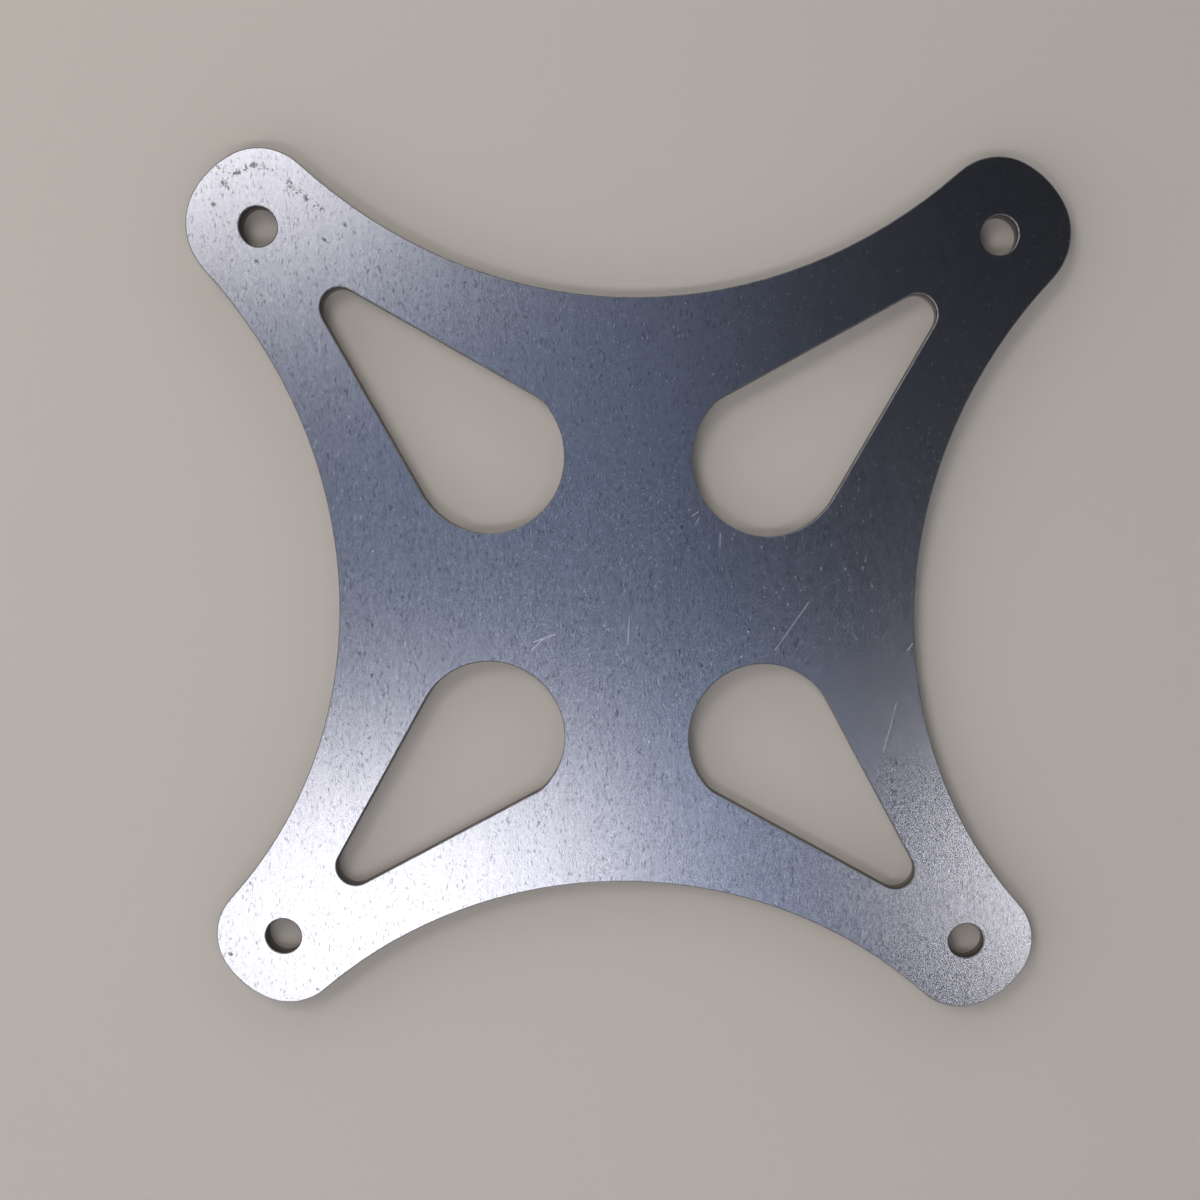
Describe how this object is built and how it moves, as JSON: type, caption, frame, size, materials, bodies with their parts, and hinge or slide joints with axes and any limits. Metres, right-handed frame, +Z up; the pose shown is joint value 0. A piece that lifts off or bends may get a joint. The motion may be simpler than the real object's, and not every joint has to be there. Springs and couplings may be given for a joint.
{
  "type": "parachute mount plate",
  "caption": "Flat steel mounting plate with concave sides, a bolt hole in each rounded corner lobe, and teardrop windows that leave a cross in the middle.",
  "frame": {"origin": "middle of the underside", "axes": "+X and +Y along the rows of bolt holes, the wider spacing along X; +Z up through the thickness"},
  "size_m": [0.182, 0.1802, 0.0048],
  "materials": {
    "steel": "flat rolled plate with a fine lengthwise grain, cut edges left bare"
  },
  "bodies": {
    "root": {"mount_plate": "steel"}
  },
  "joints": []
}
